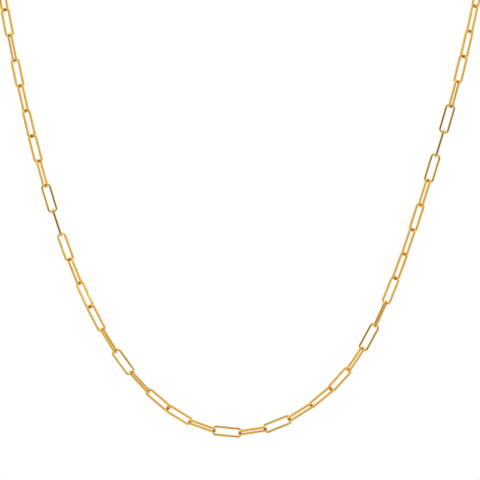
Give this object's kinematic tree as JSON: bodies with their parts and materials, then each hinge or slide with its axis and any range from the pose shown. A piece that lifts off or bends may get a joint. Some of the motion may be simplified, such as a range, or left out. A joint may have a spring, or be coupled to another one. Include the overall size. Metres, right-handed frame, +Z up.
{
  "type": "choker",
  "caption": "Fine gold choker of long oval wire links, hanging open as it is worn, closed at the nape by a spring ring between two jump rings.",
  "frame": {"origin": "middle of the neck that the chain goes round, level with the bends where the two sides of the front turn back", "axes": "+Z up, the front of the chain faces -Y, +X to the right of the picture"},
  "size_m": [0.1038, 0.0808, 0.1141],
  "materials": {
    "gold_links": "polished 14 carat yellow gold wire",
    "gold_findings": "polished 14 carat yellow gold"
  },
  "bodies": {
    "root": {"chain_left": "gold_links", "chain_right": "gold_links", "jump_ring_left": "gold_findings", "jump_ring_right": "gold_findings", "clasp": "gold_findings"}
  },
  "joints": []
}
